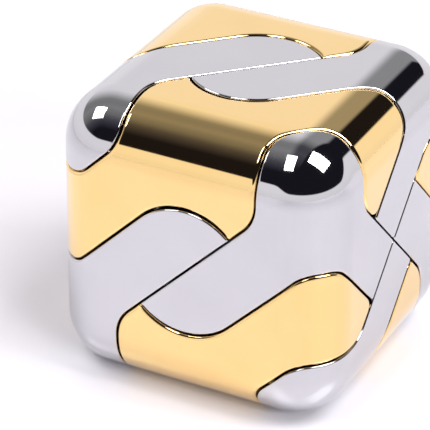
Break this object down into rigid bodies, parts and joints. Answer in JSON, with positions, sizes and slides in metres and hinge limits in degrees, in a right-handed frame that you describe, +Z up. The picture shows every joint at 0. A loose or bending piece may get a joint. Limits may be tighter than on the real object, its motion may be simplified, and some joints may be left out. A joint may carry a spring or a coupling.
{
  "type": "fidget cube",
  "caption": "Palm-sized rounded fidget cube of interlocking gold and chrome swirl pieces that all slide outwards together along the cube's edge directions and snap shut.",
  "frame": {"origin": "middle of the face the cube stands on", "axes": "+Z up; +X and -X look out of the two pinwheel faces; -Y looks out of the front, which has two chrome hooks round its middle"},
  "size_m": [0.055, 0.055, 0.055],
  "materials": {
    "gold_plate": "mirror gold plating over moulded plastic",
    "chrome_plate": "mirror chrome plating over moulded plastic",
    "black_plastic": "moulded, fine satin",
    "white_plastic": "moulded, fine satin",
    "steel": "ground steel",
    "magnet": "nickel plated magnet"
  },
  "bodies": {
    "core": {"hub_upper": "white_plastic", "hub_lower": "white_plastic", "core_magnet": "magnet", "hub_screws": "steel"},
    "gold_front_top": {"gold_front_top_shell": "gold_plate", "gold_front_top_post": "black_plastic", "gold_front_top_pin": "steel"},
    "gold_front_bottom": {"gold_front_bottom_shell": "gold_plate", "gold_front_bottom_post": "black_plastic", "gold_front_bottom_pin": "steel"},
    "gold_back_bottom": {"gold_back_bottom_shell": "gold_plate", "gold_back_bottom_post": "black_plastic", "gold_back_bottom_pin": "steel"},
    "gold_back_top": {"gold_back_top_shell": "gold_plate", "gold_back_top_post": "black_plastic", "gold_back_top_pin": "steel"},
    "chrome_right_front": {"chrome_right_front_shell": "chrome_plate", "chrome_right_front_post": "black_plastic", "chrome_right_front_pin": "steel"},
    "chrome_right_bottom": {"chrome_right_bottom_shell": "chrome_plate", "chrome_right_bottom_post": "black_plastic", "chrome_right_bottom_pin": "steel"},
    "chrome_right_back": {"chrome_right_back_shell": "chrome_plate", "chrome_right_back_post": "black_plastic", "chrome_right_back_pin": "steel"},
    "chrome_right_top": {"chrome_right_top_shell": "chrome_plate", "chrome_right_top_post": "black_plastic", "chrome_right_top_pin": "steel"},
    "chrome_left_front": {"chrome_left_front_shell": "chrome_plate", "chrome_left_front_post": "black_plastic", "chrome_left_front_pin": "steel"},
    "chrome_left_bottom": {"chrome_left_bottom_shell": "chrome_plate", "chrome_left_bottom_post": "black_plastic", "chrome_left_bottom_pin": "steel"},
    "chrome_left_back": {"chrome_left_back_shell": "chrome_plate", "chrome_left_back_post": "black_plastic", "chrome_left_back_pin": "steel"},
    "chrome_left_top": {"chrome_left_top_shell": "chrome_plate", "chrome_left_top_post": "black_plastic", "chrome_left_top_pin": "steel"}
  },
  "joints": [
    {"name": "gold_front_top_slide", "type": "slide", "parent": "core", "child": "gold_front_top", "axis": [0, -0.7071, 0.7071], "range_m": [0, 0.005], "stiffness_N_per_m": 60, "springref_m": -0.006},
    {"name": "gold_front_bottom_slide", "type": "slide", "parent": "core", "child": "gold_front_bottom", "axis": [0, -0.7071, -0.7071], "range_m": [0, 0.005], "stiffness_N_per_m": 60, "springref_m": -0.006},
    {"name": "gold_back_bottom_slide", "type": "slide", "parent": "core", "child": "gold_back_bottom", "axis": [0, 0.7071, -0.7071], "range_m": [0, 0.005], "stiffness_N_per_m": 60, "springref_m": -0.006},
    {"name": "gold_back_top_slide", "type": "slide", "parent": "core", "child": "gold_back_top", "axis": [0, 0.7071, 0.7071], "range_m": [0, 0.005], "stiffness_N_per_m": 60, "springref_m": -0.006},
    {"name": "chrome_right_front_slide", "type": "slide", "parent": "core", "child": "chrome_right_front", "axis": [0.7071, -0.7071, 0], "range_m": [0, 0.005], "stiffness_N_per_m": 60, "springref_m": -0.006},
    {"name": "chrome_right_bottom_slide", "type": "slide", "parent": "core", "child": "chrome_right_bottom", "axis": [0.7071, 0, -0.7071], "range_m": [0, 0.005], "stiffness_N_per_m": 60, "springref_m": -0.006},
    {"name": "chrome_right_back_slide", "type": "slide", "parent": "core", "child": "chrome_right_back", "axis": [0.7071, 0.7071, 0], "range_m": [0, 0.005], "stiffness_N_per_m": 60, "springref_m": -0.006},
    {"name": "chrome_right_top_slide", "type": "slide", "parent": "core", "child": "chrome_right_top", "axis": [0.7071, 0, 0.7071], "range_m": [0, 0.005], "stiffness_N_per_m": 60, "springref_m": -0.006},
    {"name": "chrome_left_front_slide", "type": "slide", "parent": "core", "child": "chrome_left_front", "axis": [-0.7071, -0.7071, 0], "range_m": [0, 0.005], "stiffness_N_per_m": 60, "springref_m": -0.006},
    {"name": "chrome_left_bottom_slide", "type": "slide", "parent": "core", "child": "chrome_left_bottom", "axis": [-0.7071, 0, -0.7071], "range_m": [0, 0.005], "stiffness_N_per_m": 60, "springref_m": -0.006},
    {"name": "chrome_left_back_slide", "type": "slide", "parent": "core", "child": "chrome_left_back", "axis": [-0.7071, 0.7071, 0], "range_m": [0, 0.005], "stiffness_N_per_m": 60, "springref_m": -0.006},
    {"name": "chrome_left_top_slide", "type": "slide", "parent": "core", "child": "chrome_left_top", "axis": [-0.7071, 0, 0.7071], "range_m": [0, 0.005], "stiffness_N_per_m": 60, "springref_m": -0.006}
  ],
  "couplings": [
    {"joint": "gold_front_bottom_slide", "follows": "gold_front_top_slide", "ratio": 1},
    {"joint": "gold_back_bottom_slide", "follows": "gold_front_top_slide", "ratio": 1},
    {"joint": "gold_back_top_slide", "follows": "gold_front_top_slide", "ratio": 1},
    {"joint": "chrome_right_front_slide", "follows": "gold_front_top_slide", "ratio": 1},
    {"joint": "chrome_right_bottom_slide", "follows": "gold_front_top_slide", "ratio": 1},
    {"joint": "chrome_right_back_slide", "follows": "gold_front_top_slide", "ratio": 1},
    {"joint": "chrome_right_top_slide", "follows": "gold_front_top_slide", "ratio": 1},
    {"joint": "chrome_left_front_slide", "follows": "gold_front_top_slide", "ratio": 1},
    {"joint": "chrome_left_bottom_slide", "follows": "gold_front_top_slide", "ratio": 1},
    {"joint": "chrome_left_back_slide", "follows": "gold_front_top_slide", "ratio": 1},
    {"joint": "chrome_left_top_slide", "follows": "gold_front_top_slide", "ratio": 1}
  ]
}
